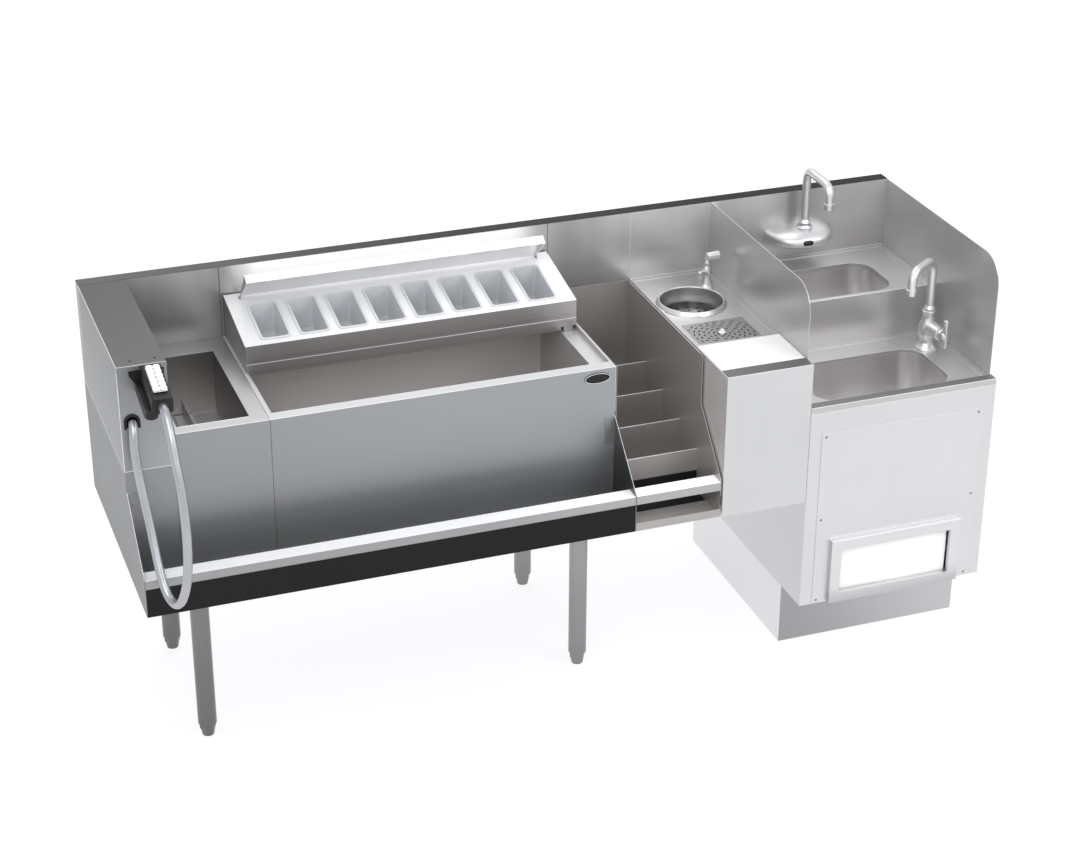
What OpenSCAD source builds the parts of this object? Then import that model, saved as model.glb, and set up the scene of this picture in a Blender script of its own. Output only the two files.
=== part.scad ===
// Underbar cocktail station: soda gun housing, bottle well, ice bin with a garnish rack,
// bottle steps, glass rinser station and a two-level sink, built along one backsplash.
// Pieces are drawn from the left end, the front plane and the floor, then centred by place().

/* [Bay widths] */
// Width of the soda gun housing
housing_w = 101.6; // [92:0.1:125]
// Width of the bottle well bay
well_w = 203.2; // [180:0.1:250]
// Width of the ice bin bay
bin_w = 762; // [700:1:920]
// Width of the bottle step bay
step_w = 203.2; // [170:0.1:250]
// Width of the rinser bay
rinse_w = 203.2; // [203.2:0.1:250]
// Width of the sink bay
sink_w = 457.2; // [430:0.1:560]

/* [Depths] */
// Depth from the front plane to the wall
station_d = 600; // [560:1:720]
// Depth of the return along the top of the backsplash
splash_return = 35; // [25:1:45]
// Depth of the speed rail, front plane to apron
rail_d = 132.7; // [120:0.1:150]
// Depth of the rail's top rim
rim_d = 38; // [30:1:45]
// Depth of the lower sink deck, front plane to riser
lower_deck_d = 303; // [290:1:320]
// Setback of the kick base
kick_setback = 96; // [60:1:120]

/* [Heights] */
// Height of the backsplash top
top_h = 923; // [900:1:1000]
// Height of the working deck
deck_h = 758; // [740:1:790]
// Height of the seam under the gun housing
seam_h = 690; // [670:1:710]
// Height of the lower sink's front lip
lip_h = 650.8; // [640:0.1:665]
// Height where the end panels meet the apron
shoulder_h = 641; // [620:1:660]
// Height of the end panels' nose above the rail
nose_h = 511; // [507:1:530]
// Height of the rail's rim
rim_h = 507; // [495:1:510]
// Height of the underside of the bin
base_h = 422; // [380:1:440]
// Height of the kick base
kick_h = 150; // [110:1:170]

/* [Sheet metal] */
// Sheet thickness
t = 1.5; // [1:0.1:2.5]
// Gap at the seams between bays
seam = 0.6; // [0.3:0.1:1.5]
// Depth of the folded edge of a deck
fold = 14; // [12.5:0.5:18]
// Depth that a deck is pressed below its edge
marine = 2; // [1:0.5:4]

/* [Bottle well] */
// Margin between the well opening and its bay's sides
well_margin = 15.4; // [10:0.1:36]
// Width of the well opening
well_open_w = 151; // [120:1:160]
// Front edge of the well and bin openings
open_y0 = 162; // [155:1:175]
// Back edge of the well and bin openings
open_y1 = 500; // [480:1:510]
// Depth of the bottle well
well_depth = 144; // [110:1:200]
// Height of the well divider
divider_h = 36; // [25:1:90]

/* [Ice bin] */
// Width of the bin's left edge
bin_left = 9; // [8:0.5:14]
// Width of the bin's right ledge, runner groove included
bin_right = 40; // [32:1:50]
// Depth of the ice bin
bin_depth = 292; // [240:1:310]
// Width of the left runner
runner_w = 7.5; // [6:0.5:9]
// Thickness of the cold plate
plate_h = 32; // [25:1:45]

/* [Garnish rack] */
// Depth of the rack, front to back
rack_d = 198; // [195:1:200]
// Height of the rack's front edge above the deck
rack_front = 62; // [55:1:75]
// Slope of the rack's top, in degrees
rack_tilt = 11; // [8:1:14]
// Number of garnish pans
pan_n = 8; // [8:1:8]
// Spacing of the pans
pan_pitch = 86.5; // [78:0.5:88]
// Width of a pan's rim
pan_w = 68; // [56:1:74]
// Length of a pan's rim
pan_l = 137; // [110:1:140]
// Depth of a pan
pan_h = 80; // [60:1:84]
// Wall of a pan
pan_t = 1.8; // [1.2:0.1:3]
// Overhang of a pan's rim
pan_rim = 3; // [2:0.5:5]
// Length of the rack's lid, hinge to front edge
lid_l = 87; // [60:1:100]
// Width of the lid
lid_w = 683; // [560:1:700]
// Opening of the lid, in degrees above level
lid_open = 52; // [35:1:60]
// Drop of the lid's front flange
lid_flange = 21; // [14:1:24]
// Radius of the lid's hinge pins
hinge_r = 2.5; // [2:0.1:3]

/* [Soda gun] */
// Centre of the gun from the left end
gun_x = 67.5; // [60:0.5:72]
// Slope of the gun in its holster, in degrees
gun_tilt = 12.5; // [10:0.5:18]
// Width of the gun's body
gun_w = 42; // [36:1:46]
// Thickness of the gun's body
gun_t = 36; // [32:1:38]
// Length of the gun's body
gun_l = 112; // [100:1:118]
// Radius of the nozzle
nozzle_r = 11; // [9:0.5:12]
// Travel of a key
key_travel = 1.5; // [1:0.1:2.5]
// Radius of a key's stem
key_stem_r = 2.5; // [2:0.1:3]
// Radius of the hose
hose_r = 9.2; // [7:0.1:10]
// Radius of the opening in the hose grommet
grommet_r = 11.5; // [11:0.1:13]
// Centre of the grommet from the left end
grommet_x = 23.5; // [22:0.5:26]
// Height of the grommet's centre
grommet_z = 801; // [795:1:805]

/* [Bottle steps] */
// Depth of a bottle row
row_d = 101.6; // [90:0.1:108]
// Drop from one row's edge to the next
row_drop = 26; // [15:1:35]
// Height of the rear row's edge
row_top = 604; // [580:1:640]
// Depth of a row below its edge
row_h = 72; // [50:1:75]
// Height of the lip of the lower shelf
shelf_lip = 19; // [12:1:30]

/* [Rinser bay] */
// Centre of the dump bowl from the bay's left side
dump_x = 84; // [84:0.5:92]
// Centre of the dump bowl from the front plane
dump_y = 394; // [386:1:402]
// Radius of the dump bowl's mouth
dump_r = 72; // [60:1:74]
// Width of the dump bowl's flange
dump_flange = 10; // [8:0.5:10]
// Width of the drip grate
grate_w = 148; // [120:1:150]
// Depth of the drip grate
grate_d = 110; // [90:1:112]
// Front edge of the drip grate
grate_y = 176; // [174:0.5:182]
// Depth of the cutting board
board_d = 132; // [110:1:134]
// Thickness of the cutting board
board_t = 12.7; // [8:0.1:12.7]

/* [Sink bay] */
// Depth of the upper bowl below the deck
upper_bowl_h = 112; // [90:1:125]
// Depth of the lower bowl below its lip
lower_bowl_h = 146; // [110:1:180]
// Corner radius of the bowls
bowl_r = 48; // [30:1:60]
// Radius of the front corner of the side splashes
splash_r = 65; // [40:1:90]
// Radius of the drain tailpieces
drain_r = 19.05; // [15:0.05:24]
// Radius of the faucets' spouts
spout_r = 10; // [7:0.5:10]
// Width of the towel dispenser's frame
towel_w = 327; // [300:1:340]
// Height of the towel dispenser's frame
towel_h = 160; // [150:1:180]
// Width of the frame's border
towel_border = 25; // [18:1:30]
// Distance that the frame stands proud
towel_proud = 12; // [8:1:18]
// Radius of the towel roll
roll_r = 50; // [35:1:52]

/* [Legs] */
// Radius of a leg
leg_r = 20.5; // [17:0.5:25]
// Height of a levelling foot
foot_h = 30; // [20:1:45]

/* [Hidden] */
KEYS = 12;
$fn = 64;
// Clearance between pieces that slide or lift past each other
gap = 0.4;
// Radial clearance of a shaft in its bore
fit = 0.05;

// Left side of each bay
x_well = housing_w;
x_bin = x_well + well_w;
x_step = x_bin + bin_w;
x_rinse = x_step + step_w;
x_sink = x_rinse + rinse_w;
x_end = x_sink + sink_w;
bay_x = [0, x_well, x_bin, x_step, x_rinse, x_sink, x_end];
splash_y = station_d - splash_return;
// Front edge of the step bay's side panel
step_front = rail_d - 11;
// Right side panel of the step bay, with its gap to the rinser cabinet
step_side_x = x_rinse - 4.2 - t;

// ---- shared shapes ----
module place() translate([-x_end / 2, -(station_d - towel_proud) / 2, 0]) children();
module block(a, b) translate(a) cube(b - a);
// An outline drawn in Y and Z, drawn out along X from x0 to x1
module along_x(x0, x1) translate([x0, 0, 0]) rotate([90, 0, 90]) linear_extrude(x1 - x0) children();
// A rectangle with round corners, from its low corner
module rrect(w, d, r) {
    translate([r, 0]) square([w - 2 * r, d]);
    translate([0, r]) square([w, d - 2 * r]);
    for (x = [r, w - r], y = [r, d - r]) translate([x, y]) circle(r);
}
// A quarter bend of a round bar, from +Z to +Y, about the origin
module elbow(r, bend) rotate([90, 0, 90]) rotate_extrude(angle = 90) translate([bend, 0]) circle(r);

// ---- backsplash ----
module splash_section() polygon([
    [splash_y, deck_h], [splash_y, top_h], [station_d, top_h], [station_d, seam_h],
    [station_d - t, seam_h], [station_d - t, top_h - t], [splash_y + t, top_h - t],
    [splash_y + t, deck_h]]);

module splash_panels() place() color("dimgray") {
    for (i = [0 : 5]) along_x(bay_x[i] + seam / 2, bay_x[i + 1] - seam / 2) splash_section();
    for (x = [seam / 2, x_end - seam / 2 - t])
        block([x, splash_y, seam_h], [x + t, station_d, top_h]);
}

// One side splash with a round front corner
module side_sheet(x, z0) along_x(x, x + t) {
    front = 30;
    translate([front, z0]) square([splash_y - front - seam, top_h - splash_r - z0]);
    translate([front + splash_r, z0]) square([splash_y - front - splash_r - seam, top_h - z0]);
    translate([front + splash_r, top_h - splash_r]) circle(splash_r);
}

module side_splashes() place() color("gainsboro") {
    side_sheet(x_sink - seam - t, deck_h);
    side_sheet(x_end - t, lip_h + 0.2);
}

// ---- soda gun housing ----
lip_out = 3.5;
lip_drop = 8;
// Drop of the hose opening below the centre of its arch
arch_low = 15;

// The arched outline of the hose opening, of radius r, down to low under its centre
module arch(r, low) {
    circle(r);
    translate([-r, -low]) square([2 * r, low]);
}
module arch_plate(r, low, y, d) translate([grommet_x, y, grommet_z]) rotate([90, 0, 0])
    linear_extrude(d) arch(r, low);

module gun_housing() place() color("slategray") difference() {
    union() {
        block([0, rail_d - lip_out, top_h - t], [housing_w, splash_y - seam, top_h]);
        block([0, rail_d - lip_out, top_h - t - lip_drop], [housing_w, rail_d - lip_out + t, top_h]);
        for (x = [0, housing_w - t]) block([x, rail_d, seam_h], [x + t, splash_y - seam, top_h]);
        block([0, rail_d, seam_h], [housing_w, rail_d + t, top_h]);
    }
    arch_plate(grommet_r + 2.5, arch_low - 2, rail_d + 2 * t, 3 * t);
}

module hose_grommet() place() color("black") difference() {
    union() {
        arch_plate(grommet_r + 5, arch_low, rail_d, 3);
        arch_plate(grommet_r + 2.4, arch_low - 2.1, rail_d + t, t);
        arch_plate(grommet_r + 5, arch_low, rail_d + t + 3, 3);
    }
    arch_plate(grommet_r, arch_low + 1, rail_d + t + 4, t + 8);
}

// Points along the middle of the hose, from the grommet to the end of the gun
HOSE = [
    [23.5, 129.3, 800], [23, 122, 797], [22, 114, 788], [20.5, 107, 773], [19.5, 100, 752],
    [20, 90, 722], [22, 78, 690], [25, 62, 652], [28, 43, 612], [30, 20, 570],
    [32, -4, 531], [36, -24, 501], [42, -43, 483], [50, -62, 480], [57, -79, 493],
    [63, -94, 520], [68, -106, 556], [71, -111, 598], [73, -110, 642], [74, -104, 686],
    [74, -93, 728], [73, -78, 766], [71, -60, 802], [70, -41, 838], [69, -19, 864.5],
    [68, -4, 877.6], [67.5, 6, 881.8], [67.5, 14.1, 883.6]];

// One ring of the hose, square to the line between its neighbours
function along(p, i) = p[min(i + 1, len(p) - 1)] - p[max(i - 1, 0)];
function unit(v) = v / norm(v);
function ring(p, i, r, n) =
    let (d = unit(along(p, i)), u = unit(cross(d, [1, 0, 0])), v = cross(d, u))
    [for (k = [0 : n - 1]) p[i] + r * (cos(360 * k / n) * u + sin(360 * k / n) * v)];
module tube(p, r, n) {
    last = len(p) - 1;
    polyhedron(
        points = [for (i = [0 : last]) each ring(p, i, r, n)],
        faces = concat(
            [[for (k = [0 : n - 1]) k]],
            [[for (k = [0 : n - 1]) last * n + n - 1 - k]],
            [for (i = [0 : last - 1], k = [0 : n - 1])
                [i * n + k, (i + 1) * n + k, (i + 1) * n + (k + 1) % n, i * n + (k + 1) % n]]));
}
module gun_hose() place() color("silver") tube(HOSE, hose_r, 12);

// ---- soda gun ----
// Head of the gun: its far top corner, just in front of the holster's plate
head_y = rail_d - 4 - gun_t * sin(gun_tilt) - 1;
head_z = top_h + 2.5;
nozzle_y = -30;
nozzle_h = 22;
row_pitch = 14;
key_w = 12.6;
key_l = 12.6;
pad_h = 2;
first_row = -14.5;
module gun_frame() translate([gun_x, head_y, head_z]) rotate([gun_tilt, 0, 0]) children();
function key_at(i) = [(i % 2 == 0 ? 1 : -1) * 7.2 + 1, first_row - row_pitch * floor((i - 1) / 2), 0];

module gun_body() place() color("black") gun_frame() difference() {
    union() {
        rotate([90, 0, 0]) linear_extrude(gun_l) translate([-gun_w / 2, -gun_t]) rrect(gun_w, gun_t, 5);
        translate([-13.5, first_row - 5.5 * row_pitch, -1]) linear_extrude(pad_h + 1)
            rrect(29, 6 * row_pitch, 3);
        translate([0, nozzle_y, -gun_t - nozzle_h]) cylinder(r = nozzle_r, h = nozzle_h + 2);
    }
    for (i = [1 : KEYS]) translate(key_at(i) + [0, 0, -9]) cylinder(r = key_stem_r + fit, h = 20);
}

module key(i) place() color("white") gun_frame() translate(key_at(i)) {
    translate([-key_w / 2, -key_l / 2, pad_h + key_travel + 0.3]) linear_extrude(3) rrect(key_w, key_l, 2);
    translate([0, 0, -9 + key_travel + 1]) cylinder(r = key_stem_r, h = 9 + pad_h);
}

module holster() place() color("black") {
    // Wall plate with a tab in front of the housing's lip
    translate([0, rail_d, 0]) rotate([90, 0, 0]) linear_extrude(4 - 0.5) polygon([
        [24, top_h - 11], [24, top_h - 20], [40, top_h - 46], [46, top_h - 74], [92, top_h - 74],
        [95, top_h - 46], [95, top_h - 11]]);
    // Cradle that the nozzle stands in
    intersection() {
        gun_frame() difference() {
            union() {
                translate([-32, -98, -gun_t - gap - 24]) linear_extrude(24) {
                    translate([0, 14]) square([28, 110]);
                    translate([14, 14]) circle(14);
                }
                translate([0, nozzle_y, -gun_t - gap - 24]) cylinder(r = nozzle_r + 6, h = 24);
            }
            translate([0, nozzle_y, -gun_t - gap - 23]) cylinder(r = nozzle_r + 1.5, h = 40);
        }
        block([0, -200, 700], [x_well, rail_d - 2, top_h]);
    }
}

// ---- left-hand body ----
module profile(top, y_front, y_back) polygon([
    [0, base_h], [0, nose_h], [y_front, shoulder_h], [y_front, top], [y_back, top],
    [y_back, base_h]]);

module end_panels() place() color("silver") {
    along_x(0, t) profile(seam_h, rail_d, station_d);
    along_x(x_step - t, x_step) profile(deck_h - seam, rail_d, splash_y);
    tab_w = 22;
    for (x = [t, x_step - t - tab_w])
        block([x, rail_d - t, shoulder_h - 66], [x + tab_w, rail_d, shoulder_h]);
}

module front_panels() place() color("silver") {
    block([t, rail_d, base_h + t], [housing_w, rail_d + t, seam_h]);
    block([housing_w + seam / 2, rail_d, base_h + t], [x_bin - seam / 2, rail_d + t, deck_h]);
    block([x_bin + seam / 2, rail_d, base_h + t], [x_step - t, rail_d + t, deck_h]);
}

module rim_section() polygon([
    [0, rim_h - 20], [0, rim_h], [rim_d, rim_h], [rim_d, rim_h - 12], [rim_d - t, rim_h - 12],
    [rim_d - t, rim_h - t], [t, rim_h - t], [t, rim_h - 20]]);
module rail_rim() place() color("white") {
    along_x(t, x_step - t) rim_section();
    along_x(x_step + seam, step_side_x) rim_section();
}

module base_pan() place() color("dimgray") difference() {
    union() {
        block([t, 0, base_h], [x_step - t, station_d, base_h + t]);
        block([t, 0, base_h], [x_step - t, t, rim_h - 20]);
        block([t, station_d - t, base_h], [x_step - t, station_d, seam_h]);
    }
    translate([drain_x, drain_y, base_h - 1]) cylinder(r = drain_r + 8, h = 5);
}

module legs() place() color("gray")
    for (x = [t + 136, x_step - 67], y = [rail_d + 39, station_d - 52]) translate([x, y, 0]) {
        translate([0, 0, foot_h]) cylinder(r = leg_r, h = base_h - foot_h);
        cylinder(r1 = 13, r2 = 16, h = foot_h - 14);
        translate([0, 0, foot_h - 14]) cylinder(r = 18, h = 14, $fn = 6);
    }

// ---- bottle well ----
well_x0 = x_well + well_margin;
well_floor = deck_h - well_depth;
module well_liner() place() color("gray") difference() {
    union() {
        block([x_well + seam / 2, rail_d + t, deck_h - fold], [x_bin - seam / 2, splash_y + t, deck_h]);
        block([well_x0 - t, open_y0 - t, well_floor - t],
              [well_x0 + well_open_w + t, open_y1 + t, deck_h - 1]);
    }
    block([well_x0, open_y0, well_floor], [well_x0 + well_open_w, open_y1, deck_h + 1]);
}

// Lift-out sheet with a foot on each side
module well_divider() place() color("silver") {
    x = well_x0 + well_open_w / 2;
    z = well_floor + gap;
    block([x, open_y0 + 3, z], [x + t, open_y1 - 3, z + divider_h]);
    block([x - 20, open_y0 + 3, z], [x + 20, open_y1 - 3, z + t]);
}

// ---- ice bin ----
bin_x0 = x_bin + bin_left;
bin_x1 = x_step - bin_right;
bin_floor = deck_h - bin_depth;
// Level of the runners that the garnish rack slides on
runner_z = deck_h - fold + 1;
drain_x = bin_x1 - 80;
drain_y = 300;
module bin_liner() place() color("gray") difference() {
    union() {
        block([x_bin + seam / 2, rail_d + t, deck_h - fold], [x_step - t, splash_y + t, deck_h]);
        block([bin_x0 - t, open_y0 - t, bin_floor - t], [bin_x1 + t, open_y1 + t, deck_h - fold + 1]);
    }
    difference() {
        block([bin_x0, open_y0, bin_floor], [bin_x1, open_y1, deck_h + 1]);
        block([bin_x0 - 1, open_y0 - 1, runner_z - t], [bin_x0 + runner_w, open_y1 + 1, runner_z]);
    }
    block([bin_x1 - 1, open_y0, runner_z], [x_step - t - 3, open_y1, deck_h + 1]);
    translate([drain_x, drain_y, bin_floor - 5]) cylinder(r = drain_r - 2, h = 20);
}

// Aluminium plate with its row of line fittings
module cold_plate() place() color("lightgray") {
    x = bin_x0 + 30;
    block([x, open_y0 + 40, bin_floor], [x + 300, open_y1 - 40, bin_floor + plate_h]);
    for (i = [0 : 5]) translate([x + 22, open_y0 + 60 + 40 * i, bin_floor + plate_h])
        cylinder(r = 5, h = 18);
}

// ---- garnish rack ----
rack_x0 = x_bin + 5.7;
rack_x1 = x_step - 5;
rack_y1 = splash_y - 5;
rack_y0 = rack_y1 - rack_d;
rack_mid = (rack_x0 + rack_x1) / 2;
rack_z0 = deck_h + rack_front;
hinge_y = rack_y1 - 19;
hinge_z = rack_z0 + (hinge_y - rack_y0) * tan(rack_tilt) + 5.5;
pan_s = 16;
// The rack's top plane, from its front edge
module on_rack() translate([0, rack_y0, rack_z0]) rotate([rack_tilt, 0, 0]) children();
function pan_x(i) = rack_mid + (i - (pan_n + 1) / 2) * pan_pitch;

module rack_outline(inset, low) {
    back_z = rack_z0 + rack_d * tan(rack_tilt);
    polygon([
        [rack_y0 + inset, deck_h + low], [rack_y0 + inset, rack_z0 - inset],
        [rack_y1 - inset, back_z - inset], [rack_y1 - inset, deck_h + low]]);
}

module garnish_rack() place() color("silver") {
    difference() {
        along_x(rack_x0, rack_x1) rack_outline(0, 1);
        along_x(rack_x0 + t, rack_x1 - t) rack_outline(t, -1);
        // Shadow groove under the top band
        block([rack_x0 - 1, rack_y0 - 1, rack_z0 - 43], [rack_x1 + 1, rack_y0 + 0.9, rack_z0 - 33]);
        for (i = [1 : pan_n]) on_rack()
            translate([pan_x(i) - pan_w / 2 + pan_rim - gap, pan_s + pan_rim - gap, -10])
                linear_extrude(20) rrect(pan_w - 2 * pan_rim + 2 * gap, pan_l - 2 * pan_rim + 2 * gap, 8);
    }
    // Front skirt that hangs into the bin
    block([rack_x0 + 6, rack_y0 + t, deck_h - 8], [bin_x1 - 1, rack_y0 + 2 * t, deck_h + 5]);
    // Feet on the runners
    foot_z = runner_z + gap;
    block([bin_x0 + 1, rack_y0 + 3, foot_z], [bin_x0 + runner_w - 1, open_y1 - 5, deck_h + 4]);
    block([rack_x0, rack_y0 + 3, deck_h + 1], [bin_x0 + runner_w - 1, open_y1 - 5, deck_h + 4]);
    block([bin_x1 + 6, rack_y0 + 3, foot_z], [bin_x1 + 28, open_y1 - 5, deck_h + 4]);
    block([bin_x1 + 20, rack_y0 + 3, deck_h + 1], [rack_x1, open_y1 - 5, deck_h + 4]);
    // Hinge ears
    for (x = [rack_mid - lid_w / 2 - 3.6, rack_mid + lid_w / 2 + 0.6])
        translate([x, hinge_y, hinge_z]) rotate([0, 90, 0]) difference() {
            union() {
                cylinder(r = hinge_r + 3, h = 3);
                translate([0, -hinge_r - 3, 0]) cube([12, 2 * hinge_r + 6, 3]);
            }
            translate([0, 0, -1]) cylinder(r = hinge_r + fit, h = 5);
        }
}

// Drawn open: plate, front flange, two cheeks and two hinge pins
module garnish_lid() place() color("white") translate([0, hinge_y, hinge_z]) rotate([-lid_open, 0, 0]) {
    x0 = rack_mid - lid_w / 2;
    x1 = rack_mid + lid_w / 2;
    block([x0, -lid_l, 0], [x1, 0, t]);
    block([x0, -lid_l, -lid_flange + t], [x1, -lid_l + t, t]);
    for (x = [x0, x1 - t]) along_x(x, x + t)
        polygon([[-lid_l, 0], [-lid_l, -lid_flange + t], [-3.2, -3.2], [3.2, -3.2], [3.2, t], [0, t]]);
    for (x = [x0 - 3.6, x1 - t]) translate([x, 0, 0]) rotate([0, 90, 0])
        cylinder(r = hinge_r, h = 3.6 + t);
}

module pan(i) place() color("lightgray") on_rack() translate([pan_x(i) - pan_w / 2, pan_s, gap]) {
    difference() {
        union() {
            linear_extrude(2) rrect(pan_w, pan_l, 10);
            translate([pan_rim, pan_rim, -pan_h]) linear_extrude(pan_h + 1)
                rrect(pan_w - 2 * pan_rim, pan_l - 2 * pan_rim, 8);
        }
        translate([pan_rim + pan_t, pan_rim + pan_t, -pan_h + pan_t]) linear_extrude(pan_h + 4)
            rrect(pan_w - 2 * (pan_rim + pan_t), pan_l - 2 * (pan_rim + pan_t), 7);
    }
}

// ---- bottle steps ----
function row_y(i) = splash_y - 128 - row_d * i;
function row_z(i) = row_top - row_drop * i;
module step_display() place() color("gray") {
    x0 = x_step + seam;
    x1 = step_side_x;
    front = row_y(3);
    block([x0, splash_y - t, row_z(0) - row_h], [x1 + t, splash_y, deck_h - seam]);
    block([x0, front - t, row_z(3) - row_h], [x0 + t, splash_y, deck_h - seam]);
    for (i = [0 : 3]) {
        y_back = i == 0 ? splash_y : row_y(i - 1);
        low = i == 3 ? base_h : row_z(i + 1) - row_h;
        block([x0, row_y(i) - t, row_z(i) - row_h], [x1 + t, y_back, row_z(i) - row_h + t]);
        block([x0, row_y(i) - t, low], [x1 + t, row_y(i), row_z(i)]);
    }
    block([x0, 0, base_h], [x1 + t, front, base_h + t]);
    block([x0, 0, base_h], [x1 + t, t, base_h + shelf_lip]);
    along_x(x1, x1 + t) profile(deck_h - seam, step_front, splash_y);
}

// ---- rinser bay ----
module rinser_cabinet() place() color("lightgray") {
    x1 = x_sink - seam;
    low = base_h - 3;
    block([x_rinse, 0, low], [x_rinse + t, splash_y + t, deck_h]);
    block([x1 - t, 0, low], [x1, splash_y + t, deck_h]);
    block([x_rinse, 0, low], [x1, t, deck_h]);
    block([x_rinse, 0, low], [x1, splash_y + t, low + t]);
    block([x_rinse, splash_y, low], [x1, splash_y + t, deck_h - fold - 0.5]);
}

grate_x = x_rinse + 13;
board_y = 38;
spider_x = grate_x + grate_w / 2 - 5;
spider_y = grate_y + grate_d / 2 - 14;
faucet_x = x_sink - 49;
faucet_y = splash_y - 101;
pan_floor = deck_h - 38;
module rinser_deck() place() color("silver") difference() {
    x1 = x_sink - seam - t;
    union() {
        block([x_rinse + t, t, deck_h - fold], [x1, splash_y + t, deck_h]);
        block([grate_x - t, grate_y - t, pan_floor - t],
              [grate_x + grate_w + t, grate_y + grate_d + t, deck_h - 1]);
        translate([spider_x, spider_y, pan_floor - 30]) cylinder(r = 12, h = 34);
    }
    // Pressed floor of the deck behind the board
    block([x_rinse + 6, grate_y, deck_h - marine], [x1 - 12, splash_y - 14, deck_h + 1]);
    // Seat of the cutting board
    block([x_rinse + t + 0.5, board_y, deck_h - board_t - gap], [x1 - 0.5, board_y + board_d + 0.8, deck_h + 1]);
    difference() {
        block([grate_x, grate_y, pan_floor], [grate_x + grate_w, grate_y + grate_d, deck_h + 1]);
        translate([spider_x, spider_y, pan_floor - 1]) cylinder(r = 12, h = 12);
        for (x = [grate_x, grate_x + grate_w - 4]) block([x, grate_y, pan_floor], [x + 4, grate_y + grate_d, deck_h - marine - 3]);
    }
    translate([spider_x, spider_y, pan_floor - 20]) cylinder(r = 5 + fit, h = 60);
    translate([x_rinse + dump_x, dump_y, deck_h - 40]) cylinder(r = dump_r + 3, h = 60);
    translate([x_rinse + dump_x, dump_y, deck_h - marine]) cylinder(r = dump_r + dump_flange + gap, h = 20);
    translate([faucet_x, faucet_y, deck_h - 40]) cylinder(r = 8, h = 60);
}

module cutting_board() place() color("white")
    block([x_rinse + t + 1.2, board_y + 0.4, deck_h - board_t],
          [x_sink - seam - t - 1.2, board_y + board_d + 0.4, deck_h]);

// Height of the bowl's raised rim above the deck
rim_rise = 9;
module dump_bowl() place() color("silver") translate([x_rinse + dump_x, dump_y, deck_h - marine])
    rotate_extrude() polygon([
        [drain_r - 2, -76], [dump_r - 14, -70], [dump_r, -6], [dump_r, rim_rise - 1.5],
        [dump_r + 1.5, rim_rise], [dump_r + 3.5, rim_rise], [dump_r + dump_flange, 1.2],
        [dump_r + dump_flange, 0], [dump_r + 1.5, 0], [dump_r + 1.5, -6], [dump_r - 12.5, -71.5],
        [drain_r - 2, -77.5]]);

// Lift-out strainer basket that seats in the bowl
strainer_z = 36;
strainer_r = dump_r - 14 * (strainer_z - 6) / 64 - gap;
module dump_strainer() place() color("gray")
    translate([x_rinse + dump_x, dump_y, deck_h - marine - strainer_z]) difference() {
        union() {
            cylinder(r = strainer_r, h = t);
            difference() {
                cylinder(r = strainer_r, h = 12);
                translate([0, 0, -1]) cylinder(r = strainer_r - t, h = 20);
            }
            cylinder(r = 7, h = 14);
        }
        for (ring_r = [20, 36, 52], k = [0 : ring_r / 4]) rotate(k * 360 / (1 + floor(ring_r / 4)))
            translate([ring_r, 0, -1]) cylinder(r = 4, h = 4, $fn = 24);
    }

module drip_grate() place() color("gray") difference() {
    c = gap;
    block([grate_x + c, grate_y + c, deck_h - marine - 2.8],
          [grate_x + grate_w - c, grate_y + grate_d - c, deck_h - marine + 0.2]);
    translate([spider_x, spider_y, deck_h - 20]) cylinder(r = 10, h = 40);
    intersection() {
        for (ring_r = [18 : 11 : 73], k = [0 : ring_r / 3]) translate([spider_x, spider_y, deck_h - 20])
            rotate((k + ring_r / 22) * 360 / (1 + floor(ring_r / 3))) translate([ring_r - 1.5, -4.5, 0])
                cube([3, 9, 40]);
        block([grate_x + 6, grate_y + 6, deck_h - 30], [grate_x + grate_w - 6, grate_y + grate_d - 6, deck_h + 30]);
    }
}

// Push valve head: a stem in the valve body, a small star and the nozzle
module rinser_spider() place() color("white") translate([spider_x, spider_y, 0]) {
    translate([0, 0, pan_floor - 8]) cylinder(r = 5, h = deck_h - pan_floor + 8);
    translate([0, 0, deck_h]) cylinder(r = 8, h = 3);
    translate([0, 0, deck_h]) cylinder(r1 = 5, r2 = 3.5, h = 9);
}

module filler_faucet() place() color("silver") translate([faucet_x, faucet_y, deck_h - marine]) {
    rotate_extrude() polygon([
        [0, 0], [17, 0], [17, 3], [13, 6], [10, 16], [9, 26], [9, 58], [0, 58]]);
    translate([0, 0, -30]) cylinder(r = 7.5, h = 31);
    translate([0, 0, 44]) rotate([0, -90, 25]) cylinder(r = 5, h = 28);
    rotate([0, 0, 25]) translate([-26, 0, 30]) cylinder(r = 4, h = 18);
}
module filler_lever() place() color("silver")
    translate([faucet_x, faucet_y, deck_h - marine + 58 + gap]) {
        cylinder(r = 8.5, h = 12);
        translate([0, -4, 6]) cube([34, 8, 5]);
        translate([30, 0, 4]) cylinder(r = 6, h = 22);
    }

// ---- sink bay ----
front_in = t + 8;
panel_x0 = x_sink + 30;
panel_x1 = x_end - 28;
panel_z0 = kick_h + 3.5;
panel_z1 = lip_h - 66;
towel_x0 = x_sink + 67.5;
towel_x1 = towel_x0 + towel_w;
towel_z0 = kick_h + 0.5;
box_in = towel_border - 11;
box_x0 = towel_x0 + box_in;
box_x1 = towel_x1 - box_in;
box_z0 = towel_z0 + box_in;
box_z1 = towel_z0 + towel_h - box_in;
box_d = 2 * roll_r + 10;
panel_t = 1.2;

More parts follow.
